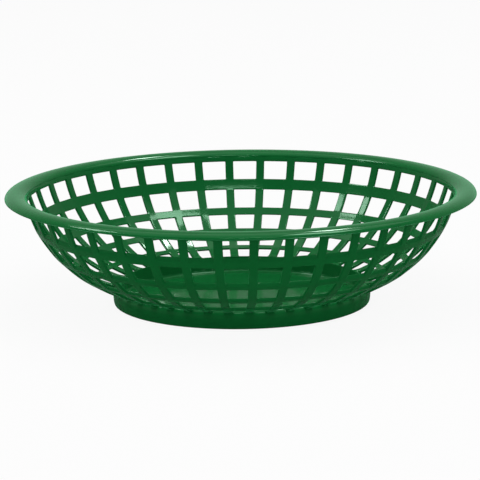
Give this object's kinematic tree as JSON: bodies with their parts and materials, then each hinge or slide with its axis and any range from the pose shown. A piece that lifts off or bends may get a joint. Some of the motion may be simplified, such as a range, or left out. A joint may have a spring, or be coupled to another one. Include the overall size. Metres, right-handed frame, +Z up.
{
  "type": "fast food basket",
  "caption": "Round plastic fast food basket: an open lattice bowl of upright ribs and level hoops under a rolled rim, on a plain foot band with a closed floor.",
  "frame": {"origin": "middle of the plane that the foot stands on, on the basket's axis", "axes": "+Z up along the basket's axis; +Y runs through the middle of a window, halfway between two ribs"},
  "size_m": [0.2032, 0.2032, 0.0498],
  "materials": {
    "green_plastic": "glossy moulded polypropylene, dark green all through"
  },
  "bodies": {
    "root": {"rim": "green_plastic", "hoop_1": "green_plastic", "hoop_2": "green_plastic", "hoop_3": "green_plastic", "hoop_4": "green_plastic", "rib_01": "green_plastic", "rib_02": "green_plastic", "rib_03": "green_plastic", "rib_04": "green_plastic", "rib_05": "green_plastic", "rib_06": "green_plastic", "rib_07": "green_plastic", "rib_08": "green_plastic", "rib_09": "green_plastic", "rib_10": "green_plastic", "rib_11": "green_plastic", "rib_12": "green_plastic", "rib_13": "green_plastic", "rib_14": "green_plastic", "rib_15": "green_plastic", "rib_16": "green_plastic", "rib_17": "green_plastic", "rib_18": "green_plastic", "rib_19": "green_plastic", "rib_20": "green_plastic", "rib_21": "green_plastic", "rib_22": "green_plastic", "rib_23": "green_plastic", "rib_24": "green_plastic", "rib_25": "green_plastic", "rib_26": "green_plastic", "rib_27": "green_plastic", "rib_28": "green_plastic", "rib_29": "green_plastic", "rib_30": "green_plastic", "rib_31": "green_plastic", "rib_32": "green_plastic", "rib_33": "green_plastic", "rib_34": "green_plastic", "rib_35": "green_plastic", "rib_36": "green_plastic", "rib_37": "green_plastic", "rib_38": "green_plastic", "rib_39": "green_plastic", "rib_40": "green_plastic", "foot_band": "green_plastic", "floor_ring": "green_plastic", "floor_panel": "green_plastic"}
  },
  "joints": []
}
